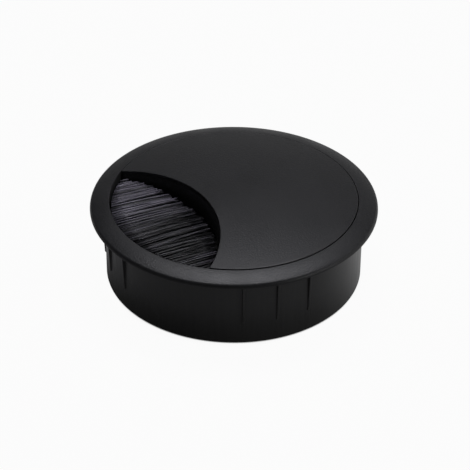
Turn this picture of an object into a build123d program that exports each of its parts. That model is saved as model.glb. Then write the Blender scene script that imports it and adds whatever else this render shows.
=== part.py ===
# Round desk cable grommet: a flanged liner that is pushed into a bored hole,
# a cover that snaps into the liner and turns in it, and a brush that closes the cover's cable outlet.
# Millimetres. The origin is the centre of the hole at the desk's surface, +Z is up,
# and the cable outlet of the cover points along -X.
import os
from math import asin, cos, degrees, radians, sin, sqrt

from build123d import *

# Sleeve of the liner, in the hole that is bored in the desk
hole_diameter = 80.0
hole_clearance = 0.5
sleeve_length = 23.2
sleeve_wall = 1.6
sleeve_lead_in = 0.6
sleeve_draft = 0.14

# Flange of the liner, which covers the edge of the hole; its height is taken at the seam
flange_overlap = 4.0
flange_height = 2.6
flange_edge_height = 0.2
flange_edge_radius = 1.2

# Crush ribs on the outside of the sleeve, in groups round it, above a plain pilot
rib_groups = 4
ribs_in_group = 3
rib_pitch_angle = 15.0
rib_turn_angle = -9.2
rib_thickness = 0.8
rib_top_height = 1.1
rib_end_height = 0.35
pilot_length = 7.5

# Socket of the liner, in which the cover sits and turns
socket_wall = 1.45
ledge_thickness = 1.5
seam_gap = 0.2
thrust_gap = 0.1
edge_break = 0.2

# Cover, a little proud of the flange at the seam and domed towards its middle
cover_proud = 0.2
cover_thickness = 2.2
dome_height = 2.6
skirt_wall = 1.5
skirt_foot_height = 1.1

# Snap bead round the skirt of the cover, in a groove of the socket
bead_height = 0.5
bead_width = 1.2
bead_crest = 0.3
bead_below_shelf = 1.1

# Cable outlet: a round bite out of the cover, with a downturned lip along its edge
outlet_radius = 37.3
outlet_edge = 9.7
lip_wall = 1.6
lip_drop = 5.6

# Brush strip: an arc on a shelf of the skirt, along the outlet's open side
shelf_thickness = 1.5
strip_thickness = 1.6
strip_width = 3.6
strip_gap = 0.3

# Bristle tufts, laid side by side on the strip in layers, all along the outlet's axis
brush_drop = 2.0
bristle_layers = 2
tuft_height = 0.8
tuft_pitch = 1.0
tuft_gap = 0.08
tuft_tip_share = 0.6
root_setback = 0.1
tip_gap = 1.9
tip_ragged = 0.8
brush_margin = 1.5

# Radii that follow from the sizes above
sleeve_radius = hole_diameter / 2 - hole_clearance
flange_radius = hole_diameter / 2 + flange_overlap
socket_radius = sleeve_radius - socket_wall
cover_radius = socket_radius - seam_gap
skirt_inner_radius = cover_radius - skirt_wall
strip_outer_radius = cover_radius - strip_gap
strip_inner_radius = strip_outer_radius - strip_width
root_radius = strip_outer_radius - root_setback

# Dome of the cover
dome_width = cover_radius - edge_break
dome_radius = (dome_width**2 + dome_height**2) / (2 * dome_height)
dome_angle = degrees(asin(dome_width / dome_radius))

# Crown of the flange: a wide arc that goes on with the dome's slope, into the small arc of the outer edge
crown_run = flange_radius - flange_edge_radius - socket_radius - edge_break
crown_rise = flange_height - flange_edge_height
crown_start = radians(dome_angle)
crown_radius = (crown_run**2 + crown_rise**2 - flange_edge_radius**2) / (
    2 * (crown_rise * cos(crown_start) - crown_run * sin(crown_start) - flange_edge_radius)
)
crown_angle = degrees(asin((crown_run + crown_radius * sin(crown_start)) / (crown_radius - flange_edge_radius)))

# Levels, from the top of the cover down to the ledge that it stands on
cover_rim = flange_height + cover_proud
dome_top = cover_rim + dome_height
lip_foot = flange_height - lip_drop
strip_top = flange_height - brush_drop - bristle_layers * tuft_height
shelf_top = strip_top - strip_thickness
bead_level = shelf_top - bead_below_shelf - bead_width / 2
skirt_foot = bead_level - bead_width / 2 - skirt_foot_height
ledge_top = skirt_foot - thrust_gap
ledge_underside = ledge_top - ledge_thickness
rib_foot = pilot_length - sleeve_length

# Centre of the outlet's edge, and half the outlet's width from corner to corner of the cover
outlet_centre = outlet_edge + outlet_radius
corner_x = (cover_radius**2 - outlet_radius**2 + outlet_centre**2) / (2 * outlet_centre)
corner_y = sqrt(cover_radius**2 - corner_x**2)
brush_half_width = corner_y - brush_margin

os.makedirs("parts", exist_ok=True)

# One crush rib: a thin fin that tapers towards the foot of the sleeve
with BuildPart() as rib:
    with BuildSketch(Plane.XZ):
        with BuildLine():
            Polyline(
                (sleeve_radius - sleeve_wall / 2, 0),
                (sleeve_radius + rib_top_height, 0),
                (sleeve_radius + rib_end_height, rib_foot + rib_end_height),
                (sleeve_radius, rib_foot),
                (sleeve_radius - sleeve_wall / 2, rib_foot),
                close=True,
            )
        make_face()
    extrude(amount=rib_thickness / 2, both=True)

# Liner: flange, socket, ledge and sleeve turned as one section, with the ribs round the sleeve
with BuildPart() as liner:
    with BuildSketch(Plane.XZ):
        with BuildLine():
            rim = JernArc((flange_radius, flange_edge_height), (0, 1), flange_edge_radius, 90 - crown_angle)
            crown = JernArc(rim @ 1, rim % 1, crown_radius, crown_angle - dome_angle)
            Polyline(
                crown @ 1,
                (socket_radius, flange_height - edge_break),
                (socket_radius, ledge_top),
                (skirt_inner_radius, ledge_top),
                (skirt_inner_radius, ledge_underside),
                (sleeve_radius - sleeve_wall, ledge_underside),
                (sleeve_radius - sleeve_wall, -sleeve_length),
                (sleeve_radius - sleeve_lead_in, -sleeve_length),
                (sleeve_radius, sleeve_lead_in - sleeve_length),
                (sleeve_radius, rib_foot),
                (sleeve_radius + sleeve_draft, 0),
                (flange_radius, 0),
                rim @ 0,
            )
        make_face()
    revolve(axis=Axis.Z)
    with BuildSketch(Plane.XZ):
        with BuildLine():
            Polyline(
                (cover_radius, bead_level + bead_width / 2 + seam_gap),
                (socket_radius + bead_height, bead_level + bead_crest / 2 + seam_gap),
                (socket_radius + bead_height, bead_level - bead_crest / 2 - seam_gap),
                (cover_radius, bead_level - bead_width / 2 - seam_gap),
                close=True,
            )
        make_face()
    revolve(axis=Axis.Z, mode=Mode.SUBTRACT)
    with PolarLocations(0, rib_groups, start_angle=rib_turn_angle):
        with PolarLocations(
            0,
            ribs_in_group,
            start_angle=-rib_pitch_angle * (ribs_in_group - 1) / 2,
            angular_range=rib_pitch_angle * (ribs_in_group - 1),
            endpoint=True,
        ):
            add(rib.part)

# Hollow of the cover under its dome, less the lip that hangs down along the outlet
with BuildPart() as hollow:
    with BuildSketch(Plane.XY.offset(skirt_foot)):
        Circle(skirt_inner_radius)
    extrude(amount=dome_top - skirt_foot)
    with Locations((0, 0, dome_top - dome_radius)):
        Sphere(dome_radius - cover_thickness, rotation=(90, 0, 0), mode=Mode.INTERSECT)
    with BuildSketch(Plane.XY.offset(lip_foot)):
        with Locations((-outlet_centre, 0)):
            Circle(outlet_radius + lip_wall)
            Circle(outlet_radius, mode=Mode.SUBTRACT)
    extrude(amount=dome_top - lip_foot, mode=Mode.SUBTRACT)

# Cover: skirt with its snap bead, turned, then domed, hollowed, with the outlet bitten out and a brush shelf
with BuildPart() as cover:
    with BuildSketch(Plane.XZ):
        with BuildLine():
            Polyline(
                (0, skirt_foot),
                (cover_radius, skirt_foot),
                (cover_radius, bead_level - bead_width / 2),
                (cover_radius + bead_height, bead_level - bead_crest / 2),
                (cover_radius + bead_height, bead_level + bead_crest / 2),
                (cover_radius, bead_level + bead_width / 2),
                (cover_radius, cover_rim - edge_break),
                (cover_radius - edge_break - 2 * dome_height, cover_rim + 2 * dome_height),
                (0, cover_rim + 2 * dome_height),
                close=True,
            )
        make_face()
    revolve(axis=Axis.Z)
    with Locations((0, 0, dome_top - dome_radius)):
        Sphere(dome_radius, rotation=(90, 0, 0), mode=Mode.INTERSECT)
    add(hollow.part, mode=Mode.SUBTRACT)
    with BuildSketch(Plane.XY.offset(shelf_top)):
        with Locations((-outlet_centre, 0)):
            Circle(outlet_radius)
    extrude(amount=dome_top - shelf_top, mode=Mode.SUBTRACT)
    with BuildSketch(Plane.XY.offset(shelf_top - shelf_thickness)):
        Circle(cover_radius - skirt_wall / 2)
        Circle(strip_inner_radius, mode=Mode.SUBTRACT)
        with Locations((-outlet_centre, 0)):
            Circle(outlet_radius, mode=Mode.INTERSECT)
    extrude(amount=shelf_thickness)

# Brush strip: the arc that the bristles are welded to, on the shelf of the cover
with BuildPart() as brush_strip:
    with BuildSketch(Plane.XY.offset(shelf_top)):
        Circle(strip_outer_radius)
        Circle(strip_inner_radius, mode=Mode.SUBTRACT)
        with Locations((-outlet_centre, 0)):
            Circle(outlet_radius - strip_gap, mode=Mode.INTERSECT)
    extrude(amount=strip_thickness)


def edge_of_outlet(y):
    """Distance of the outlet's edge from the hole's axis, measured along the outlet's axis."""
    return outlet_centre - sqrt(outlet_radius**2 - y**2)


def tuft(y, level, shortening):
    """One tapered tuft, from its root on the strip to its free end near the outlet's edge."""
    root = sqrt(root_radius**2 - y**2)
    width = tuft_pitch - tuft_gap
    side = width * (1 - tuft_tip_share) / 2
    with BuildPart() as one:
        with Locations(Location((-root, y, level), (0, 0, -90))):
            Wedge(
                width,
                root - edge_of_outlet(y) - tip_gap - shortening,
                tuft_height,
                side,
                0,
                width - side,
                tuft_tip_share * tuft_height,
                align=(Align.CENTER, Align.MIN, Align.MIN),
            )
    return one.part


# Bristles: staggered layers of tufts, cut to uneven lengths
golden_share = (sqrt(5) - 1) / 2
tufts = []
for layer in range(bristle_layers):
    count = int(2 * brush_half_width / tuft_pitch) - layer
    for number in range(count):
        place = (number - (count - 1) / 2) * tuft_pitch
        uneven = tip_ragged * (len(tufts) * golden_share % 1)
        tufts.append(tuft(place, strip_top + layer * tuft_height, uneven))
with BuildPart() as bristles:
    add(tufts)

pieces = {"liner": liner, "cover": cover, "brush_strip": brush_strip, "bristles": bristles}
for name, piece in pieces.items():
    piece.part.label = name
    export_step(piece.part, f"parts/{name}.step")
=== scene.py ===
"""Round desk cable grommet: looks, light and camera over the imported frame."""

import math
import random
from functools import partial
from types import SimpleNamespace

import bmesh
import bpy
from bpy.props import FloatProperty, FloatVectorProperty, IntProperty, PointerProperty
from mathutils import Matrix, Vector


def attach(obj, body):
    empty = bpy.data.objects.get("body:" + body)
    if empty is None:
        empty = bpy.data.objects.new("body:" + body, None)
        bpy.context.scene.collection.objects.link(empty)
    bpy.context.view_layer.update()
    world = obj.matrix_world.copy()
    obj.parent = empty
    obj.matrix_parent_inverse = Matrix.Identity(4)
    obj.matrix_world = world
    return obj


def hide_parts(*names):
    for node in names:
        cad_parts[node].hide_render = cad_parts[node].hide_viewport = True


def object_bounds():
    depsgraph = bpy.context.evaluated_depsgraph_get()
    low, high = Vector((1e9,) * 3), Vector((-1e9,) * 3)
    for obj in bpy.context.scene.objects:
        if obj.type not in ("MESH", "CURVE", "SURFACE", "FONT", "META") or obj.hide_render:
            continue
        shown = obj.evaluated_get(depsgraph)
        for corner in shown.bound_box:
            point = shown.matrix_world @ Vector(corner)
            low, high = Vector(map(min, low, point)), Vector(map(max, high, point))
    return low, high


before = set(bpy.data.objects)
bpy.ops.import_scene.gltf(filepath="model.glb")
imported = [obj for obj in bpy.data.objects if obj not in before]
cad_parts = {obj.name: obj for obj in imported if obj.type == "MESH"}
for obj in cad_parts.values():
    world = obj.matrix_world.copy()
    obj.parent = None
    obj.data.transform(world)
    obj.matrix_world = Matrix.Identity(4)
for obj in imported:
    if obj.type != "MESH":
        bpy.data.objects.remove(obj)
CAD_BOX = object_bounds()

bl_info = {
    "name": "Cable grommet",
    "version": (1, 0, 0),
    "blender": (4, 5, 0),
    "location": "3D View > Sidebar > Grommet",
    "description": "Round desk cable grommet with a turning cover and a brush across its outlet",
    "category": "Object",
}

MM = 0.001

# Mesh steps: round a full turn, round a small corner, and over the flange's edge and crown
TURN_STEPS = 288
CORNER_STEPS = 4
EDGE_STEPS = 8
CROWN_STEPS = 10

# Crush ribs: mesh levels up a rib, and in half thicknesses its mesh columns, its sloping side and the clearing round it
RIB_LEVELS = 8
RIB_COLUMNS = (0.0, 0.5, 0.75, 0.9, 1.0, 1.1, 1.3, 1.7)
RIB_SIDE_START = 1.1
RIB_SIDE_RUN = 0.35
RIB_CLEARING = 2.2

# Cover: mesh steps along the disc and across its top and underside, along the lip, the skirt and the shelf
DISC_STEPS = 240
DISC_TOP_STEPS = 26
DISC_UNDERSIDE_STEPS = 10
LIP_STEPS = 110
SKIRT_STEPS = 220
SHELF_STEPS = 110

# The disc stops just short of its sharp corners, and its rounding takes at most a share of its width there.
DISC_SHARE = 0.999
OUTLET_TRIM = 0.004
MOST_ROUNDING = 0.35

# Section of the lip: share of its wall from the outlet outwards, and height over its foot, or None up in the disc
LIP_SECTION = (
    (0, None),
    (0, 0.25 * MM),
    (0.06, 0.08 * MM),
    (0.16, 0),
    (0.84, 0),
    (0.94, 0.08 * MM),
    (1, 0.25 * MM),
    (1, None),
)

# Tufts of the brush: how many there are, how many lie before the middle, and how they differ
BRUSH_SEED = 11
TUFTS = 40
TUFTS_BEFORE_MIDDLE = 20.3
TUFT_SHADE_SPREAD = 0.12
TUFT_SHORTENING = 0.5 * MM
TUFT_GATHER = 0.4
TUFT_POINT = 1.2
LIFT_SPREAD = 0.12 * MM

# Strands of a tuft, which lie closest and straightest in the top layer
STRAND_JITTER = 0.2
STRAND_LEAN_SPREAD = 0.02
FAR_LEAN = -0.05
LOWER_SPREAD = 4

# Filaments of a strand: three-sided rods that taper, sag and bow
FILAMENT_SIDES = 3
FILAMENT_TAPER = 0.4
FILAMENT_LEAN_SPREAD = 0.006
FILAMENT_SHORT_SPREAD = 0.2 * MM
FILAMENT_BOW_SPREAD = 0.12 * MM
FILAMENT_THICKNESS = (0.8, 1.1)
FILAMENT_SAG = (0.85, 1.15)
MOST_SHORTENING = 0.3
SHORTEST_RUN = 0.6 * MM
LONG_RUN = 5 * MM
LONG_STEPS = 5
SHORT_STEPS = 2

# The gap at the tips closes towards the ends of the brush, from this far out and over this width.
GAP_KEPT_TO = 10 * MM
GAP_CLOSES_OVER = 12 * MM
GAP_CLOSED = 0.95

# Light painted on the brush: two slanting, blurred edges cross at one place, one of the painted lit part and one of the
# painted pale part
LIGHT_CROSSING_X = -14.9 * MM
LIGHT_CROSSING_Y = 5.9 * MM
LIGHT_BLUR = 1.2 * MM
LIT_SLANT = -0.4
PALE_SLANT = 0.27

# Tones of the brush, from dark (0) to pale (1), holding painted light and shade over a random tone per strand, and how
# a tone grows from root to tip, where the tips are painted lighter
FAR_TONE = 0.82
FAR_TONE_SPREAD = 0.3
FAR_TONE_LEAST = 0.3
FAR_ALONG = (0.85, 1.15)
MIDDLE_TONE = (0.2, 0.9)
NEAR_TONE = 0.03
NEAR_ALONG = (0.75, 2.15)
NEAR_BRIGHT_SHARE = 0.2
NEAR_BRIGHT_TONE = (0.1, 0.3)
# Painted glints: single filaments painted brighter, less so in the painted shade
GLINT_SPREAD = 0.1
GLINT_SHARE = 0.1
GLINT_TONE = 0.55
GLINT_IN_SHADE = 0.7
# Painted shade of the lowest layer, under the layers above it
DEEPEST_TONE = 0.04
# Painted fill light over the lit part and over the shaded part
FAR_PAINTED_FILL = 0.13
NEAR_PAINTED_FILL = 0.012

# Lamps: name, turn from the camera and elevation in degrees, distance, width and height in metres, watts, tint
SOFTBOXES = (
    ("Key softbox", 176, 75, 0.4, 0.26, 0.14, 1.04, "#f9f9ff"),
    ("Side softbox", 100, 35, 0.8, 0.5, 0.3, 0.55, "#ffffff"),
    ("Low softbox", 60, 14, 0.6, 0.3, 0.3, 0.55, "#ffffff"),
)

# Stage: half the floor's width in metres, the camera's sensor in millimetres, and ways to the white, from the camera
FLOOR_HALF_WIDTH = 3.0
SENSOR_WIDTH = 36
WHITE_FLOOR_WAY = Vector((0.35, 0.94, 0))
BACKDROP_WAY = Vector((0.6, 0.8, 0))
WHITE = (1, 1, 1, 1)
ROOM_GREY = (0.06, 0.06, 0.06, 1)


def linear(hex_colour):
    """Linear colour of an sRGB hex value."""
    channels = [int(hex_colour[i : i + 2], 16) / 255 for i in (1, 3, 5)]
    return tuple(c / 12.92 if c <= 0.04045 else ((c + 0.055) / 1.055) ** 2.4 for c in channels)


def length(name, description, millimetres):
    """Length property: written in millimetres, kept in metres."""
    return FloatProperty(name=name, description=description, default=millimetres * MM, unit="LENGTH", precision=4)


def angle(name, description, degrees):
    """Angle property, written in degrees."""
    return FloatProperty(name=name, description=description, default=math.radians(degrees), subtype="ANGLE")


def number(name, description, default, least=1):
    """Property that counts something."""
    return IntProperty(name=name, description=description, default=default, min=least)


def colour(name, description, hex_colour):
    """Colour property, written as an sRGB hex value."""
    return FloatVectorProperty(
        name=name, description=description, default=linear(hex_colour), min=0, max=1, subtype="COLOR"
    )


class LinerSettings(bpy.types.PropertyGroup):
    """Sizes and finish of the flanged liner."""

    flange_radius: length("Flange radius", "Outer radius of the flange", 44.0)
    flange_height: length("Flange height", "Height of the flange at the seam", 2.6)
    edge_height: length("Edge height", "Upright part of the flange's outer edge", 0.2)
    edge_radius: length("Edge radius", "Rounding of the flange's outer edge", 1.2)
    underside_rounding: length("Underside rounding", "Rounding of the flange's lower edge", 0.15)
    seam_rounding: length("Seam rounding", "Rounding of the flange's edge at the seam", 0.2)
    socket_radius: length("Socket radius", "Inner radius of the socket that the cover turns in", 38.05)
    groove_level: length("Groove level", "Height of the middle of the snap groove", -4.3)
    groove_radius: length("Groove radius", "Radius of the bottom of the snap groove", 38.55)
    groove_mouth: length("Groove mouth", "Width of the snap groove at the socket's wall", 1.34)
    groove_floor: length("Groove floor", "Width of the snap groove at its bottom", 0.7)
    ledge_radius: length("Ledge radius", "Inner radius of the ledge under the cover", 36.35)
    ledge_top: length("Ledge top", "Height of the top of the ledge", -6.1)
    ledge_foot: length("Ledge foot", "Height of the underside of the ledge", -7.6)
    ledge_rounding: length("Ledge rounding", "Rounding of the ledge's edges", 0.2)
    sleeve_radius: length("Sleeve radius", "Outer radius of the sleeve's plain foot", 39.5)
    sleeve_draft: length("Sleeve draft", "Growth of the sleeve's radius up to the flange", 0.14)
    sleeve_bore: length("Sleeve bore", "Inner radius of the sleeve", 37.9)
    sleeve_foot: length("Sleeve foot", "Height of the foot of the sleeve", -23.2)
    bore_rounding: length("Bore rounding", "Rounding of the corner between ledge and bore", 0.3)
    foot_rounding: length("Foot rounding", "Rounding of the bore's edge at the foot", 0.2)
    lead_in: length("Lead-in", "Bevel at the foot of the sleeve", 0.6)
    lead_in_rounding: length("Lead-in rounding", "Rounding of the bevel's edges", 0.15)
    neck_rounding: length("Neck rounding", "Rounding of the corner between sleeve and flange", 0.25)
    rib_foot: length("Rib foot", "Height of the foot of the crush ribs", -15.7)
    rib_top: length("Rib top", "Height of a rib at the flange, out from the sleeve", 1.1)
    rib_end: length("Rib end", "Height of a rib at its foot, out from the sleeve", 0.35)
    rib_thickness: length("Rib thickness", "Thickness of a crush rib", 0.8)
    rib_groups: number("Rib groups", "Groups of crush ribs round the sleeve", 4)
    ribs_in_group: number("Ribs in group", "Crush ribs in a group", 3)
    rib_turn: angle("Rib turn", "Angle of the first group of ribs", -9.2)
    rib_pitch: angle("Rib pitch", "Angle between ribs of a group", 15)
    black: colour("Black", "Colour of the liner's plastic", "#18181a")
    sleeve_black: colour("Sleeve black", "Colour of the sleeve's smooth wall", "#2e2e2e")


class CoverSettings(bpy.types.PropertyGroup):
    """Sizes and finish of the turning cover."""

    radius: length("Radius", "Outer radius of the cover", 37.85)
    rim: length("Rim", "Height of the cover's top at the seam", 2.8)
    dome_height: length("Dome height", "Height of the middle of the dome above the seam", 2.6)
    thickness: length("Thickness", "Thickness of the dome", 2.2)
    edge_rounding: length("Edge rounding", "Rounding of the cover's top edges", 0.2)
    outlet_radius: length("Outlet radius", "Radius of the outlet's edge", 37.3)
    outlet_centre: length("Outlet centre", "Distance of the middle of the outlet's edge arc", 47.0)
    lip_wall: length("Lip wall", "Thickness of the lip along the outlet", 1.6)
    lip_foot: length("Lip foot", "Height of the foot of the lip", -3.0)
    skirt_radius: length("Skirt radius", "Inner radius of the skirt", 36.35)
    skirt_foot: length("Skirt foot", "Height of the foot of the skirt", -6.0)
    skirt_rounding: length("Skirt rounding", "Rounding of the skirt's foot", 0.3)
    bead_level: length("Bead level", "Height of the middle of the snap bead", -4.3)
    bead_height: length("Bead height", "Height of the snap bead, out from the skirt", 0.5)
    bead_width: length("Bead width", "Width of the snap bead at the skirt", 1.2)
    bead_crest: length("Bead crest", "Width of the snap bead at its crest", 0.3)
    bead_rounding: length("Bead rounding", "Rounding of the bead's crest and the skirt's upper edges", 0.1)
    shelf_radius: length("Shelf radius", "Inner radius of the brush shelf", 33.95)
    shelf_top: length("Shelf top", "Height of the top of the brush shelf", -2.6)
    shelf_foot: length("Shelf foot", "Height of the underside of the brush shelf", -4.1)
    shelf_root: length("Shelf root", "How far the brush shelf reaches into the skirt", 0.5)
    shelf_rounding: length("Shelf rounding", "Rounding of the brush shelf's edges", 0.2)
    black: colour("Black", "Colour of the cover's plastic", "#18181a")


class BrushSettings(bpy.types.PropertyGroup):
    """Sizes and finish of the brush in the outlet."""

    root_radius: length("Root radius", "Radius of the arc of the filaments' roots", 37.45)
    half_width: length("Half width", "Half of the brush's width", 28.2)
    foot: length("Foot", "Height of the underside of the lowest filaments", -1.0)
    thickness: length("Thickness", "Thickness of the brush at its root", 1.6)
    tuft_pitch: length("Tuft pitch", "Distance between neighbouring tufts", 3.0)
    strand_pitch: length("Strand pitch", "Distance between neighbouring strands of a tuft", 1.15)
    strand_spread: length("Strand spread", "Spread of the filaments across a strand", 0.1)
    far_gap: length("Far gap", "Gap between the tips on the far side and the outlet's edge", 1.9)
    near_gap: length("Near gap", "Gap between the tips on the near side and the outlet's edge", 1.0)
    ragged: length("Ragged", "How much shorter a tuft is at its sides", 1.9)
    droop: length("Droop", "How far the longest tips hang down", 1.1)
    filament: length("Filament", "Diameter of a filament at its root", 0.19)
    filaments: number("Filaments", "Filaments in a strand", 8)
    layers: number("Layers", "Layers of strands", 4, least=2)
    # The filaments' shade attribute, which holds painted light and shade, mixes these colours: painted shade towards
    # dark and grey, painted light towards pale.
    dark: colour("Dark", "Colour of the darkest filaments", "#0f0f10")
    grey: colour("Grey", "Colour that filaments in shade tend to", "#7f7f82")
    pale: colour("Pale", "Colour of the palest filaments", "#827e8b")
    strip: colour("Strip", "Colour of the strip that holds the filaments", "#0d0d0e")


class StageSettings(bpy.types.PropertyGroup):
    """Camera, light and floor."""

    lens: FloatProperty(name="Lens", description="Focal length in millimetres", default=158.82)
    distance: length("Distance", "Distance of the camera from the point that it looks at", 640.72)
    elevation: angle("Elevation", "Angle of the camera above the desk", 34.557)
    azimuth: angle("Azimuth", "Turn of the camera about the axis", -28.589)
    roll: angle("Roll", "Roll of the camera", 0.357)
    aim: FloatVectorProperty(
        name="Aim",
        description="Point that the camera looks at",
        default=(0.449 * MM, 0.024 * MM, -11.407 * MM),
        subtype="TRANSLATION",
    )
    floor: colour("Floor", "Colour of the floor", "#a8a8a8")


def add_node(tree, kind, inputs=None, **settings):
    """New node with its settings, values and incoming links."""
    node = tree.nodes.new(kind)
    for name, value in settings.items():
        setattr(node, name, value)
    for name, value in (inputs or {}).items():
        if isinstance(value, bpy.types.NodeSocket):
            tree.links.new(value, node.inputs[name])
        else:
            node.inputs[name].default_value = value
    return node


def new_material(name):
    """Empty node material and its output node."""
    material = bpy.data.materials.new(name)
    material.use_nodes = True
    tree = material.node_tree
    tree.nodes.clear()
    return material, tree, add_node(tree, "ShaderNodeOutputMaterial")


def toned(plain, share=1.0):
    """Colour for a node, darker or paler than the plain one by a share."""
    return (*[channel * share for channel in plain], 1)


def grained_abs(name, black):
    """Black ABS from a spark-eroded mould: matt, with a fine grain that breaks up reflections."""
    material, tree, output = new_material(name)
    place = add_node(tree, "ShaderNodeTexCoord").outputs["Object"]
    # The real grain is about 0.1 mm wide, too fine to show, so it is drawn 0.6 mm wide.
    grain_width = 0.6 * MM
    grain = add_node(
        tree, "ShaderNodeTexNoise", {"Vector": place, "Scale": 1 / grain_width, "Detail": 3.0, "Roughness": 0.6}
    )
    # Slow change of gloss over some 15 mm, as left by the mould's polish.
    cloud_width = 15 * MM
    cloud = add_node(tree, "ShaderNodeTexNoise", {"Vector": place, "Scale": 1 / cloud_width, "Detail": 2.0})
    tone = add_node(
        tree,
        "ShaderNodeMix",
        {"Factor": grain.outputs["Fac"], "A": toned(black, 0.7), "B": toned(black, 1.3)},
        data_type="RGBA",
    )
    uneven = add_node(tree, "ShaderNodeMath", {0: grain.outputs["Fac"], 1: cloud.outputs["Fac"]}, operation="ADD")
    gloss = add_node(
        tree,
        "ShaderNodeMapRange",
        {"Value": uneven.outputs["Value"], "From Min": 0.6, "From Max": 1.4, "To Min": 0.37, "To Max": 0.53},
    )
    relief = add_node(
        tree, "ShaderNodeBump", {"Height": grain.outputs["Fac"], "Strength": 0.6, "Distance": 0.11 * MM}
    )
    shader = add_node(
        tree,
        "ShaderNodeBsdfPrincipled",
        {
            "Base Color": tone.outputs["Result"],
            "Roughness": gloss.outputs["Result"],
            "IOR": 1.52,
            "Specular IOR Level": 0.36,
            "Normal": relief.outputs["Normal"],
        },
    )
    tree.links.new(shader.outputs["BSDF"], output.inputs["Surface"])
    return material


def smooth_abs(name, black):
    """Black ABS from a plain machined mould: satin, with faint upright draw marks."""
    material, tree, output = new_material(name)
    place = add_node(tree, "ShaderNodeTexCoord").outputs["Object"]
    # Draw marks are about 0.8 mm apart round the wall and run its full height.
    mark_width = 0.8 * MM
    stretched = add_node(tree, "ShaderNodeMapping", {"Vector": place, "Scale": (1, 1, 0.04)})
    marks = add_node(
        tree,
        "ShaderNodeTexNoise",
        {"Vector": stretched.outputs["Vector"], "Scale": 1 / mark_width, "Detail": 2.0},
    )
    gloss = add_node(
        tree,
        "ShaderNodeMapRange",
        {"Value": marks.outputs["Fac"], "From Min": 0.3, "From Max": 0.7, "To Min": 0.28, "To Max": 0.36},
    )
    tone = add_node(
        tree,
        "ShaderNodeMix",
        {"Factor": marks.outputs["Fac"], "A": toned(black, 0.8), "B": toned(black, 1.2)},
        data_type="RGBA",
    )
    relief = add_node(
        tree, "ShaderNodeBump", {"Height": marks.outputs["Fac"], "Strength": 0.12, "Distance": 0.02 * MM}
    )
    shader = add_node(
        tree,
        "ShaderNodeBsdfPrincipled",
        {
            "Base Color": tone.outputs["Result"],
            "Roughness": gloss.outputs["Result"],
            "IOR": 1.52,
            "Specular IOR Level": 0.32,
            "Normal": relief.outputs["Normal"],
        },
    )
    tree.links.new(shader.outputs["BSDF"], output.inputs["Surface"])
    return material


def nylon_filament(name, dark, grey, pale):
    """Black drawn nylon: thin shiny rods whose painted light and shade, with a random tone, differ from rod to rod."""
    material, tree, output = new_material(name)
    shade = add_node(tree, "ShaderNodeAttribute", attribute_name="shade").outputs["Fac"]
    # The shade attribute holds painted light and shade: filaments painted as lit get a faint violet cast, and those
    # painted in shade are plain grey.
    cast = add_node(tree, "ShaderNodeMix", {"Factor": shade, "A": toned(grey), "B": toned(pale)}, data_type="RGBA")
    tone = add_node(
        tree, "ShaderNodeMix", {"Factor": shade, "A": toned(dark), "B": cast.outputs["Result"]}, data_type="RGBA"
    )
    place = add_node(tree, "ShaderNodeTexCoord").outputs["Object"]
    # Flats and nicks along a filament, some 2 mm long.
    nick_length = 2 * MM
    along = add_node(tree, "ShaderNodeMapping", {"Vector": place, "Scale": (1, 8, 8)})
    nicks = add_node(
        tree, "ShaderNodeTexNoise", {"Vector": along.outputs["Vector"], "Scale": 1 / nick_length, "Detail": 2.0}
    )
    gloss = add_node(
        tree,
        "ShaderNodeMapRange",
        {"Value": nicks.outputs["Fac"], "From Min": 0.3, "From Max": 0.7, "To Min": 0.3, "To Max": 0.5},
    )
    shader = add_node(
        tree,
        "ShaderNodeBsdfPrincipled",
        {
            "Base Color": tone.outputs["Result"],
            "Roughness": gloss.outputs["Result"],
            "IOR": 1.53,
            "Specular IOR Level": 0.5,
        },
    )
    tree.links.new(shader.outputs["BSDF"], output.inputs["Surface"])
    return material


def between(ends, share):
    """Value at a share of the way from one end to the other."""
    return ends[0] + (ends[1] - ends[0]) * share


def spread(start, end, steps):
    """Evenly spread values, both ends included."""
    return [start + (end - start) * step / steps for step in range(steps + 1)]


def arc(centre, radius, start, end, steps):
    """Points on an arc, angles in radians."""
    return [
        (centre[0] + radius * math.cos(turn), centre[1] + radius * math.sin(turn)) for turn in spread(start, end, steps)
    ]


def soften(corners):
    """Section whose corners, each with a rounding, are turned into small curves."""
    points = []
    for index, (across, up, rounding) in enumerate(corners):
        corner = Vector((across, up))
        if not rounding:
            points.append(tuple(corner))
            continue
        before = Vector(corners[index - 1][:2])
        after = Vector(corners[(index + 1) % len(corners)][:2])
        start = corner + (before - corner).normalized() * rounding
        end = corner + (after - corner).normalized() * rounding
        for share in spread(0, 1, CORNER_STEPS):
            points.append(tuple(start.lerp(corner, share).lerp(corner.lerp(end, share), share)))
    return points


def skin(rows, closed):
    """Vertices and faces over rows of points; the last row joins the first, and open rows get end faces."""
    count = len(rows[0])
    vertices = [point for row in rows for point in row]
    faces = []
    for row in range(len(rows)):
        below = row * count
        above = (row + 1) % len(rows) * count
        for step in range(count if closed else count - 1):
            following = (step + 1) % count
            faces.append((below + step, below + following, above + following, above + step))
    if not closed:
        faces.append(tuple(row * count for row in range(len(rows))))
        faces.append(tuple(row * count + count - 1 for row in reversed(range(len(rows)))))
    return vertices, faces


def sweep(section, angles_at, closed=True, swell=None):
    """Vertices and faces of a closed section carried round the axis."""
    rows = []
    for radius, height in section:
        row = []
        for turn in angles_at(radius):
            reach = radius + (swell(radius, height, turn) if swell else 0.0)
            row.append((reach * math.cos(turn), reach * math.sin(turn), height))
        rows.append(row)
    return skin(rows, closed)


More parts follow.
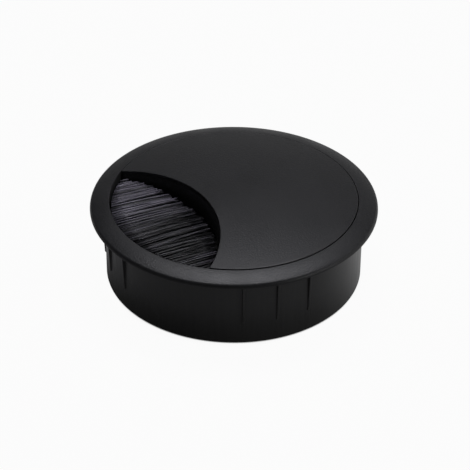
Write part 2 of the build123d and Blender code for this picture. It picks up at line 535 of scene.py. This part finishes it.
def make_piece(name, shells, materials, body, node):
    """Mesh piece from shells of vertices and faces, riding in place of a node."""
    mesh = bpy.data.meshes.new(name)
    build = bmesh.new()
    for vertices, faces in shells:
        made = [build.verts.new(place) for place in vertices]
        for corners in faces:
            build.faces.new([made[corner] for corner in corners]).smooth = True
    bmesh.ops.recalc_face_normals(build, faces=build.faces)
    build.to_mesh(mesh)
    build.free()
    for material in materials:
        mesh.materials.append(material)
    piece = bpy.data.objects.new(name, mesh)
    bpy.context.scene.collection.objects.link(piece)
    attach(piece, body)
    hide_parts(node)
    return piece


def weigh_shading(piece):
    """Lets the large faces of a moulding lead the shading at its edges."""
    piece.modifiers.new("Face weighted shading", "WEIGHTED_NORMAL").weight = 80


def dome_radius(cover):
    """Radius of the sphere of the cover's dome."""
    width = cover.radius - cover.edge_rounding
    return (width**2 + cover.dome_height**2) / (2 * cover.dome_height)


def dome_slope(cover):
    """Slope of the dome at the seam, in radians."""
    return math.asin((cover.radius - cover.edge_rounding) / dome_radius(cover))


def dome_level(cover, x, y, depth=0.0):
    """Height of the dome over a place, or of the surface at a depth under it."""
    sphere = dome_radius(cover)
    return cover.rim + cover.dome_height - sphere + math.sqrt((sphere - depth) ** 2 - x**2 - y**2)


def flange_top(size, slope):
    """Top of the flange's section, from its outer edge to the seam, where it has the dome's slope."""
    start = size.socket_radius + size.seam_rounding
    rise = size.flange_height - size.edge_height
    run = size.flange_radius - size.edge_radius - start
    # The crown is a wide arc that goes on with the dome's slope, into the small arc of the edge.
    crown_radius = (run**2 + rise**2 - size.edge_radius**2) / (
        2 * (rise * math.cos(slope) - run * math.sin(slope) - size.edge_radius)
    )
    meeting = math.acos((run + crown_radius * math.sin(slope)) / (crown_radius - size.edge_radius))
    edge_centre = (size.flange_radius - size.edge_radius, size.edge_height)
    crown_centre = (start - crown_radius * math.sin(slope), size.flange_height - crown_radius * math.cos(slope))
    edge = arc(edge_centre, size.edge_radius, 0, meeting, EDGE_STEPS)
    crown = arc(crown_centre, crown_radius, meeting, math.pi / 2 - slope, CROWN_STEPS)
    return edge + crown[1:]


def liner_section(size, slope):
    """Closed section of the liner: sleeve, flange and socket, round to the ledge."""
    sleeve = [
        (size.sleeve_bore, size.ledge_foot, size.bore_rounding),
        (size.sleeve_bore, size.sleeve_foot, size.foot_rounding),
        (size.sleeve_radius - size.lead_in, size.sleeve_foot, size.lead_in_rounding),
        (size.sleeve_radius, size.sleeve_foot + size.lead_in, size.lead_in_rounding),
    ]
    ramp = size.rib_foot + size.rib_end
    below_flange = -2 * size.neck_rounding
    for level in [size.rib_foot, (size.rib_foot + ramp) / 2, *spread(ramp, below_flange, RIB_LEVELS)]:
        draft = size.sleeve_draft * (1 - level / size.rib_foot)
        sleeve.append((size.sleeve_radius + draft, level, 0))
    flange = [
        (size.sleeve_radius + size.sleeve_draft, 0, size.neck_rounding),
        (size.flange_radius, 0, size.underside_rounding),
        *[(across, up, 0) for across, up in flange_top(size, slope)],
    ]
    seam_level = size.flange_height + size.seam_rounding * math.tan(slope)
    socket = [
        (size.socket_radius, seam_level, size.seam_rounding),
        (size.socket_radius, size.groove_level + size.groove_mouth / 2, 0),
        (size.groove_radius, size.groove_level + size.groove_floor / 2, 0),
        (size.groove_radius, size.groove_level - size.groove_floor / 2, 0),
        (size.socket_radius, size.groove_level - size.groove_mouth / 2, 0),
        (size.socket_radius, size.ledge_top, 0),
        (size.ledge_radius, size.ledge_top, size.ledge_rounding),
        (size.ledge_radius, size.ledge_foot, size.ledge_rounding),
    ]
    return soften([*sleeve, *flange, *socket])


def rib_places(size):
    """Angles of the crush ribs, in groups round the sleeve."""
    middle = (size.ribs_in_group - 1) / 2
    return [
        size.rib_turn + math.tau / size.rib_groups * group + size.rib_pitch * (place - middle)
        for group in range(size.rib_groups)
        for place in range(size.ribs_in_group)
    ]


def from_nearest_rib(ribs, turn):
    """Angle from a place on the sleeve to the nearest rib."""
    return min(abs((turn - rib + math.pi) % math.tau - math.pi) for rib in ribs)


def liner_angles(size, ribs):
    """Angles of the liner's mesh columns: close together across a rib, and even between ribs."""
    neck = size.sleeve_radius + size.sleeve_draft
    half = size.rib_thickness / 2
    angles = [rib + way * column * half / neck for rib in ribs for column in RIB_COLUMNS for way in (1, -1)]
    for turn in spread(0, math.tau, TURN_STEPS)[:-1]:
        if from_nearest_rib(ribs, turn) * neck > RIB_CLEARING * half:
            angles.append(turn)
    # Rounding merges columns that fall together.
    return sorted({round(turn % math.tau, 7) for turn in angles})


def rib_swell(size, ribs, radius, height, turn):
    """How far a crush rib stands out of the sleeve at a place on its wall."""
    inside_wall = radius < size.sleeve_radius - 0.01 * MM
    at_flange = height >= -0.4 * size.neck_rounding
    if inside_wall or at_flange or height <= size.rib_foot:
        return 0.0
    half = size.rib_thickness / 2
    aside = from_nearest_rib(ribs, turn) * (size.sleeve_radius + size.sleeve_draft)
    if aside >= RIB_SIDE_START * half:
        return 0.0
    ramp = size.rib_foot + size.rib_end
    if height < ramp:
        crest = height - size.rib_foot
    else:
        crest = between((size.rib_top, size.rib_end), height / ramp)
    shoulder = min(1.0, (RIB_SIDE_START * half - aside) / (RIB_SIDE_RUN * half))
    return max(0.0, size.sleeve_radius + crest - radius) * math.sin(shoulder * math.pi / 2)


class GROMMET_OT_liner(bpy.types.Operator):
    """Flanged liner with its ribbed sleeve"""

    bl_idname = "grommet.liner"
    bl_label = "Liner"

    def execute(self, context):
        """Turns the liner's section and raises the crush ribs on its sleeve."""
        size = context.scene.grommet_liner
        section = liner_section(size, dome_slope(context.scene.grommet_cover))
        ribs = rib_places(size)
        angles = liner_angles(size, ribs)
        turned = sweep(section, lambda radius: angles, swell=partial(rib_swell, size, ribs))
        grained = grained_abs("Grained ABS, flange", size.black)
        smooth = smooth_abs("Smooth ABS, sleeve", size.sleeve_black)
        piece = make_piece("liner_moulding", [turned], [grained, smooth], "liner", "liner")
        # The sleeve and the flange's underside are smooth.
        for face in piece.data.polygons:
            below_desk = face.center.z < -0.05 * MM
            faces_desk = face.center.z < 0.05 * MM and face.normal.z < -0.5
            if below_desk or faces_desk:
                face.material_index = 1
        weigh_shading(piece)
        return {"FINISHED"}


def outlet_corner(cover, radius, outlet_radius):
    """Corner where a circle of the cover meets a circle of the outlet."""
    x = -(radius**2 - outlet_radius**2 + cover.outlet_centre**2) / (2 * cover.outlet_centre)
    return x, math.sqrt(radius**2 - x**2)


def corner_angle(cover, radius):
    """Angle of the outlet's corner on a circle of the cover."""
    x, y = outlet_corner(cover, radius, cover.outlet_radius)
    return math.atan2(y, x)


def outlet_arc(cover, radius, steps, trim=0.0):
    """Points on an arc about the middle of the outlet's edge, from corner to corner of the cover."""
    x, y = outlet_corner(cover, cover.radius, radius)
    end = math.atan2(y, x + cover.outlet_centre) * (1 - trim)
    return arc((-cover.outlet_centre, 0), radius, -end, end, steps)


def domed_disc(cover):
    """Shell of the disc: sections from its outer edge to the outlet's edge, one after another."""
    outer = corner_angle(cover, cover.radius) * DISC_SHARE
    outer_edge = arc((0, 0), cover.radius, -outer, outer, DISC_STEPS)
    outlet_edge = outlet_arc(cover, cover.outlet_radius, DISC_STEPS, OUTLET_TRIM)
    columns = []
    for start, end in zip(outer_edge, outlet_edge):
        edge = Vector(start)
        over = Vector(end) - edge
        width = over.length
        rounding = min(cover.edge_rounding, MOST_ROUNDING * width)
        rounded = [
            (rounding * (1 - math.cos(turn)), rounding * (1 - math.sin(turn)))
            for turn in spread(0, math.pi / 2, CORNER_STEPS)
        ]
        line = [
            *rounded,
            *[(place, 0.0) for place in spread(rounding, width - rounding, DISC_TOP_STEPS)[1:-1]],
            *[(width - place, drop) for place, drop in reversed(rounded)],
        ]
        column = []
        for place, drop in line:
            x, y = edge + over * (place / width)
            column.append((x, y, dome_level(cover, x, y) - drop))
        for place in spread(width, 0, DISC_UNDERSIDE_STEPS):
            x, y = edge + over * (place / width)
            column.append((x, y, dome_level(cover, x, y, cover.thickness)))
        columns.append(column)
    return skin([list(row) for row in zip(*columns)], False)


def outlet_lip(cover):
    """Shell of the lip along the outlet's edge, up into the disc."""
    inner = outlet_arc(cover, cover.outlet_radius, LIP_STEPS)
    outside = outlet_arc(cover, cover.outlet_radius + cover.lip_wall, LIP_STEPS)
    rows = []
    for share, lift in LIP_SECTION:
        row = []
        for (inner_x, inner_y), (outside_x, outside_y) in zip(inner, outside):
            x = between((inner_x, outside_x), share)
            y = between((inner_y, outside_y), share)
            in_disc = dome_level(cover, x, y, cover.thickness / 2)
            row.append((x, y, in_disc if lift is None else cover.lip_foot + lift))
        rows.append(row)
    return skin(rows, False)


def upper_skirt(cover):
    """Shell of the skirt between shelf and disc, which the outlet cuts open."""
    in_disc = cover.rim - cover.thickness / 2
    section = [
        (cover.skirt_radius, cover.shelf_top),
        (cover.radius, cover.shelf_top),
        (cover.radius, in_disc),
        (cover.skirt_radius, in_disc),
    ]

    def outside_outlet(radius):
        """Angles of the skirt outside the outlet."""
        outer = corner_angle(cover, radius)
        return spread(-outer, outer, SKIRT_STEPS)

    return sweep(section, outside_outlet, closed=False)


def lower_skirt(cover):
    """Shell of the closed ring of the skirt with its snap bead."""
    crest = cover.radius + cover.bead_height
    section = [
        (cover.skirt_radius, cover.shelf_top, cover.bead_rounding),
        (cover.skirt_radius, cover.skirt_foot, cover.skirt_rounding),
        (cover.radius, cover.skirt_foot, cover.skirt_rounding),
        (cover.radius, cover.bead_level - cover.bead_width / 2, 0),
        (crest, cover.bead_level - cover.bead_crest / 2, cover.bead_rounding),
        (crest, cover.bead_level + cover.bead_crest / 2, cover.bead_rounding),
        (cover.radius, cover.bead_level + cover.bead_width / 2, 0),
        (cover.radius, cover.shelf_top, cover.bead_rounding),
    ]
    full_turn = spread(0, math.tau, TURN_STEPS)[:-1]
    return sweep(soften(section), lambda radius: full_turn)


def brush_shelf(cover):
    """Shell of the shelf that carries the brush, on the outlet's open side."""
    root = cover.skirt_radius + cover.shelf_root
    section = [
        (cover.shelf_radius, cover.shelf_top, cover.shelf_rounding),
        (cover.shelf_radius, cover.shelf_foot, cover.shelf_rounding),
        (root, cover.shelf_foot, 0),
        (root, cover.shelf_top, 0),
    ]

    def inside_outlet(radius):
        """Angles of the shelf inside the outlet."""
        outer = corner_angle(cover, radius)
        return spread(outer, math.tau - outer, SHELF_STEPS)

    return sweep(soften(section), inside_outlet, closed=False)


class GROMMET_OT_cover(bpy.types.Operator):
    """Turning cover with its outlet, lip, skirt and brush shelf"""

    bl_idname = "grommet.cover"
    bl_label = "Cover"

    def execute(self, context):
        """Joins the shells of the cover to one moulding."""
        size = context.scene.grommet_cover
        shells = [make(size) for make in (domed_disc, outlet_lip, upper_skirt, lower_skirt, brush_shelf)]
        grained = grained_abs("Grained ABS, cover", size.black)
        weigh_shading(make_piece("cover_moulding", shells, [grained], "cover", "cover"))
        return {"FINISHED"}


def far_share(y, x=0.0, slant=0.0):
    """How much a place lies beyond a slanting line over the brush, towards its far side, which is painted paler."""
    beyond = y - LIGHT_CROSSING_Y + slant * (x - LIGHT_CROSSING_X)
    return 1 / (1 + math.exp(-beyond / LIGHT_BLUR))


def tip_reach(size, cover, y):
    """Distance from the axis to the tips at a place along the brush."""
    edge = cover.outlet_centre - math.sqrt(cover.outlet_radius**2 - y**2)
    gap = between((size.near_gap, size.far_gap), far_share(y))
    towards_end = min(1.0, max(0.0, abs(y) - GAP_KEPT_TO) / GAP_CLOSES_OVER)
    return edge + gap * (1 - GAP_CLOSED * towards_end)


def filament_shade(x, y, share, strand, glint):
    """Painted light and shade of a filament at a place, from dark (0) to pale (1), at a share of the way from root to
    tip.
    """
    near, middle, far = strand.tones
    lit = far_share(y, x, LIT_SLANT)
    pale = far_share(y, x, PALE_SLANT)
    # Light is painted on the far side and, in a wedge, on the roots of the middle; the rest is painted in shade. The
    # shaded part and the far side are painted lighter towards the tips.
    in_light = lit * pale
    in_wedge = lit * (1 - pale)
    in_shade = 1 - lit
    shade = near * between(NEAR_ALONG, share) * in_shade
    shade += middle * in_wedge
    shade += far * between(FAR_ALONG, share) * in_light
    # Painted glints, weaker in the painted shade.
    shade += glint * between((GLINT_IN_SHADE, 1.0), lit)
    # Painted fill light is added over the lit and the shaded parts, on top of the layer's painted shade.
    shade = strand.depth * shade + FAR_PAINTED_FILL * in_light + NEAR_PAINTED_FILL * in_shade
    return min(1.0, max(0.0, shade))


def draw_strand(rng, size, tufts, layer, place):
    """Strand of filaments at a place in a layer, counted in strands from the middle of the brush."""
    rise = layer / (size.layers - 1)
    stagger = 0.5 * (layer % 2) + rng.uniform(-STRAND_JITTER, STRAND_JITTER)
    across = (place + stagger) * size.strand_pitch
    tuft, within = divmod(across / size.tuft_pitch + TUFTS_BEFORE_MIDDLE, 1)
    tuft_shade, tuft_short, tuft_lift = tufts[int(tuft)]
    far = FAR_TONE * tuft_shade * max(FAR_TONE_LEAST, rng.gauss(1, FAR_TONE_SPREAD))
    middle = rng.uniform(*MIDDLE_TONE)
    near = NEAR_TONE + (rng.uniform(*NEAR_BRIGHT_TONE) if rng.random() < NEAR_BRIGHT_SHARE else 0.0)
    return SimpleNamespace(
        layer=layer,
        across=across,
        # The strands of the lower layers spread and close the gaps between those of the top layer.
        spread=size.strand_spread * (1 + LOWER_SPREAD * (1 - rise) ** 2),
        short=tuft_short + size.ragged * abs(2 * within - 1) ** TUFT_POINT,
        gather=(0.5 - within) * size.tuft_pitch * TUFT_GATHER,
        lean=rng.gauss(0, STRAND_LEAN_SPREAD) + FAR_LEAN * far_share(across),
        lift=tuft_lift + rng.gauss(0, LIFT_SPREAD),
        tones=(near, middle, far),
        # Painted shade: the lower layers are painted darker under the top layer.
        depth=between((DEEPEST_TONE, 1.0), rise**4),
    )


def draw_filament(rng, size, cover, strand):
    """Line, shades, radius and spin of one filament of a strand, or None where there is no room for it."""
    across = strand.across + rng.gauss(0, 1) * strand.spread
    if abs(across) > size.half_width:
        return None
    root = math.sqrt(size.root_radius**2 - across**2)
    level = size.foot + size.thickness * (strand.layer + rng.random()) / size.layers
    longest = size.root_radius - tip_reach(size, cover, 0)
    room = root - tip_reach(size, cover, across)
    shift = strand.gather * room / longest + (strand.lean + rng.gauss(0, FILAMENT_LEAN_SPREAD)) * room
    short = strand.short + abs(rng.gauss(0, FILAMENT_SHORT_SPREAD))
    run = root - tip_reach(size, cover, across + shift) - min(short, MOST_SHORTENING * room)
    if run < SHORTEST_RUN:
        return None
    sag = size.droop * (run / longest) ** 2 * rng.uniform(*FILAMENT_SAG) - strand.lift * run / longest
    radius = size.filament / 2 * rng.uniform(*FILAMENT_THICKNESS)
    bow = rng.gauss(0, FILAMENT_BOW_SPREAD) * run / longest
    spin = rng.uniform(0, math.tau)
    glint = rng.gauss(0, GLINT_SPREAD) + (GLINT_TONE if rng.random() < GLINT_SHARE else 0.0)
    line, shades = [], []
    for share in spread(0, 1, LONG_STEPS if run > LONG_RUN else SHORT_STEPS):
        x = -root + run * share
        y = across + shift * share + bow * math.sin(math.tau * share)
        line.append((x, y, level - sag * share**2))
        shades.append(filament_shade(x, y, share, strand, glint))
    return line, shades, radius, spin


def filament_rod(line, radius, spin, first):
    """Vertices and faces of a thin rod along a line, tapering to its tip; the first vertex has the number given."""
    vertices, faces = [], []
    last = len(line) - 1
    for step, (x, y, z) in enumerate(line):
        thick = radius * (1 - FILAMENT_TAPER * (step / last) ** 2)
        for side in range(FILAMENT_SIDES):
            turn = spin + math.tau * side / FILAMENT_SIDES
            vertices.append((x, y + thick * math.cos(turn), z + thick * math.sin(turn)))
    for step in range(last):
        ring = first + step * FILAMENT_SIDES
        for side in range(FILAMENT_SIDES):
            here = ring + side
            beside = ring + (side + 1) % FILAMENT_SIDES
            faces.append((here, beside, beside + FILAMENT_SIDES, here + FILAMENT_SIDES))
    faces.append(tuple(first + side for side in reversed(range(FILAMENT_SIDES))))
    faces.append(tuple(first + last * FILAMENT_SIDES + side for side in range(FILAMENT_SIDES)))
    return vertices, faces


class GROMMET_OT_brush(bpy.types.Operator):
    """Strip and filaments of the brush in the outlet"""

    bl_idname = "grommet.brush"
    bl_label = "Brush"

    def execute(self, context):
        """Lays tufts of fine filaments along the strip, parallel to the outlet's axis."""
        size = context.scene.grommet_brush
        cover = context.scene.grommet_cover
        rng = random.Random(BRUSH_SEED)
        tufts = [
            (rng.gauss(1, TUFT_SHADE_SPREAD), rng.uniform(0, TUFT_SHORTENING), rng.gauss(0, LIFT_SPREAD))
            for _ in range(TUFTS)
        ]
        vertices, faces, shades = [], [], []
        count = int(2 * size.half_width / size.strand_pitch)
        for layer in range(size.layers):
            for place in range(count + 1):
                strand = draw_strand(rng, size, tufts, layer, place - count / 2)
                for _ in range(size.filaments):
                    filament = draw_filament(rng, size, cover, strand)
                    if filament is None:
                        continue
                    line, tones, radius, spin = filament
                    rod_vertices, rod_faces = filament_rod(line, radius, spin, len(vertices))
                    vertices += rod_vertices
                    faces += rod_faces
                    shades += [tone for tone in tones for _ in range(FILAMENT_SIDES)]
        nylon = nylon_filament("Drawn nylon filament", size.dark, size.grey, size.pale)
        piece = make_piece("brush_filaments", [(vertices, faces)], [nylon], "cover", "bristles")
        piece.data.attributes.new("shade", "FLOAT", "POINT").data.foreach_set("value", shades)

        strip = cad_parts["brush_strip"]
        strip.data.materials.clear()
        strip.data.materials.append(smooth_abs("Smooth ABS, brush strip", size.strip))
        return {"FINISHED"}


def stand_camera(scene, size, turn):
    """Camera at the height, turn and roll of the settings."""
    back = Vector((0, -math.cos(size.elevation), math.sin(size.elevation)))
    right = Vector((1, 0, 0))
    tilt = Matrix.Rotation(size.roll, 4, back)
    pose = Matrix.Identity(4)
    for column, axis in enumerate((tilt @ right, tilt @ back.cross(right), back)):
        pose.col[column] = (*(turn @ axis), 0)
    pose.translation = Vector(size.aim) + (turn @ back) * size.distance
    camera = bpy.data.objects.new("Camera", bpy.data.cameras.new("Camera"))
    camera.data.lens = size.lens
    camera.data.sensor_width = SENSOR_WIDTH
    camera.data.clip_start = 10 * MM
    camera.matrix_world = pose
    scene.collection.objects.link(camera)
    scene.camera = camera


def white_floor(grey, turn):
    """Matt floor that the camera sees as white, apart from the dark place under the cover."""
    material, tree, output = new_material("White studio floor")
    path = add_node(tree, "ShaderNodeLightPath")
    matt = add_node(tree, "ShaderNodeBsdfDiffuse", {"Color": toned(grey)})
    white = add_node(tree, "ShaderNodeEmission", {"Color": WHITE, "Strength": 1.0})
    # Under the cover, where no light gets in, the floor keeps its own dark shade.
    openness = add_node(tree, "ShaderNodeAmbientOcclusion", {"Distance": 90 * MM})
    clear = add_node(
        tree,
        "ShaderNodeMapRange",
        {"Value": openness.outputs["AO"], "From Min": 0.1, "From Max": 0.4, "To Min": 0.0, "To Max": 0.96},
    )
    # In reflections the floor is white behind the object and fades out in front of it.
    place = add_node(tree, "ShaderNodeTexCoord").outputs["Object"]
    behind = add_node(tree, "ShaderNodeVectorMath", {0: place, 1: turn @ WHITE_FLOOR_WAY}, operation="DOT_PRODUCT")
    fade = add_node(
        tree,
        "ShaderNodeMapRange",
        {
            "Value": behind.outputs["Value"],
            "From Min": -20 * MM,
            "From Max": 20 * MM,
            "To Min": 0.05,
            "To Max": 0.5,
        },
    )
    reflected = add_node(
        tree, "ShaderNodeMath", {0: path.outputs["Is Glossy Ray"], 1: fade.outputs["Result"]}, operation="MULTIPLY"
    )
    seen = add_node(
        tree, "ShaderNodeMath", {0: path.outputs["Is Camera Ray"], 1: reflected.outputs["Value"]}, operation="MAXIMUM"
    )
    share = add_node(
        tree, "ShaderNodeMath", {0: seen.outputs["Value"], 1: clear.outputs["Result"]}, operation="MULTIPLY"
    )
    mixed = add_node(
        tree,
        "ShaderNodeMixShader",
        {0: share.outputs["Value"], 1: matt.outputs["BSDF"], 2: white.outputs["Emission"]},
    )
    tree.links.new(mixed.outputs["Shader"], output.inputs["Surface"])
    return material


def lay_floor(scene, size, turn):
    """Square floor under the foot of the sleeve."""
    level = CAD_BOX[0].z
    corners = [(-1, -1), (1, -1), (1, 1), (-1, 1)]
    mesh = bpy.data.meshes.new("floor")
    mesh.from_pydata([(x * FLOOR_HALF_WIDTH, y * FLOOR_HALF_WIDTH, level) for x, y in corners], [], [(0, 1, 2, 3)])
    mesh.materials.append(white_floor(size.floor, turn))
    floor = bpy.data.objects.new("floor", mesh)
    scene.collection.objects.link(floor)


def hang_softboxes(scene, turn):
    """Softboxes round the object, each facing it."""
    for name, heading, elevation, distance, width, height, watts, tint in SOFTBOXES:
        lamp = bpy.data.lights.new(name, "AREA")
        lamp.shape = "RECTANGLE"
        lamp.size = width
        lamp.size_y = height
        lamp.energy = watts
        lamp.color = linear(tint)
        aside = math.radians(heading)
        lift = math.radians(elevation)
        direction = turn @ Vector(
            (math.sin(aside) * math.cos(lift), -math.cos(aside) * math.cos(lift), math.sin(lift))
        )
        box = bpy.data.objects.new(name, lamp)
        box.location = direction * distance
        box.rotation_euler = direction.to_track_quat("Z", "Y").to_euler()
        scene.collection.objects.link(box)


def light_room(scene, turn):
    """Dim room that the camera sees as white, with a white backdrop in reflections."""
    world = bpy.data.worlds.new("Studio")
    scene.world = world
    world.use_nodes = True
    tree = world.node_tree
    tree.nodes.clear()
    path = add_node(tree, "ShaderNodeLightPath")
    direction = add_node(tree, "ShaderNodeTexCoord").outputs["Generated"]
    height = add_node(tree, "ShaderNodeSeparateXYZ", {"Vector": direction}).outputs["Z"]
    # The backdrop stands behind the object and ends low, under the dim room.
    low = add_node(
        tree,
        "ShaderNodeMapRange",
        {"Value": height, "From Min": 0.05, "From Max": 0.34, "To Min": 1.0, "To Max": 0.0},
    )
    behind = add_node(tree, "ShaderNodeVectorMath", {0: direction, 1: turn @ BACKDROP_WAY}, operation="DOT_PRODUCT")
    sector = add_node(
        tree,
        "ShaderNodeMapRange",
        {"Value": behind.outputs["Value"], "From Min": 0.45, "From Max": 0.8, "To Min": 0.0, "To Max": 1.0},
    )
    backdrop = add_node(
        tree, "ShaderNodeMath", {0: sector.outputs["Result"], 1: low.outputs["Result"]}, operation="MULTIPLY"
    )
    glossy = add_node(
        tree, "ShaderNodeMath", {0: path.outputs["Is Glossy Ray"], 1: backdrop.outputs["Value"]}, operation="MULTIPLY"
    )
    seen = add_node(
        tree,
        "ShaderNodeMath",
        {0: path.outputs["Is Camera Ray"], 1: path.outputs["Is Transmission Ray"]},
        operation="MAXIMUM",
    )
    share = add_node(
        tree, "ShaderNodeMath", {0: seen.outputs["Value"], 1: glossy.outputs["Value"]}, operation="MAXIMUM"
    )
    room = add_node(tree, "ShaderNodeBackground", {"Color": ROOM_GREY, "Strength": 1.0})
    white = add_node(tree, "ShaderNodeBackground", {"Color": WHITE, "Strength": 1.0})
    mixed = add_node(
        tree,
        "ShaderNodeMixShader",
        {0: share.outputs["Value"], 1: room.outputs["Background"], 2: white.outputs["Background"]},
    )
    add_node(tree, "ShaderNodeOutputWorld", {"Surface": mixed.outputs["Shader"]})


class GROMMET_OT_stage(bpy.types.Operator):
    """Floor, light and camera"""

    bl_idname = "grommet.stage"
    bl_label = "Stage"

    def execute(self, context):
        """Sets up a white floor, soft studio light and the camera."""
        scene = context.scene
        size = scene.grommet_stage
        turn = Matrix.Rotation(size.azimuth, 4, "Z")
        stand_camera(scene, size, turn)
        lay_floor(scene, size, turn)
        hang_softboxes(scene, turn)
        light_room(scene, turn)
        scene.view_settings.view_transform = "Standard"
        return {"FINISHED"}


class GROMMET_PT_sidebar(bpy.types.Panel):
    """Sidebar panel that lists the grommet's pieces and stage"""

    bl_idname = "GROMMET_PT_sidebar"
    bl_label = "Cable grommet"
    bl_space_type = "VIEW_3D"
    bl_region_type = "UI"
    bl_category = "Grommet"

    def draw(self, context):
        """Shows one button and the settings for each step."""
        for step in STEPS:
            self.layout.operator(f"grommet.{step}")
            settings = getattr(context.scene, f"grommet_{step}")
            for name in settings.__annotations__:
                self.layout.prop(settings, name)


STEPS = {"stage": StageSettings, "liner": LinerSettings, "cover": CoverSettings, "brush": BrushSettings}
CLASSES = (
    *STEPS.values(),
    GROMMET_OT_stage,
    GROMMET_OT_liner,
    GROMMET_OT_cover,
    GROMMET_OT_brush,
    GROMMET_PT_sidebar,
)


def register():
    """Registers the classes and hangs the settings on the scene."""
    for made in CLASSES:
        bpy.utils.register_class(made)
    for step, settings in STEPS.items():
        setattr(bpy.types.Scene, f"grommet_{step}", PointerProperty(type=settings))


def unregister():
    """Takes the settings and classes away again."""
    for step in STEPS:
        delattr(bpy.types.Scene, f"grommet_{step}")
    for made in reversed(CLASSES):
        bpy.utils.unregister_class(made)


def main():
    register()
    for step in STEPS:
        getattr(bpy.ops.grommet, step)()


if __name__ == "__main__":
    main()
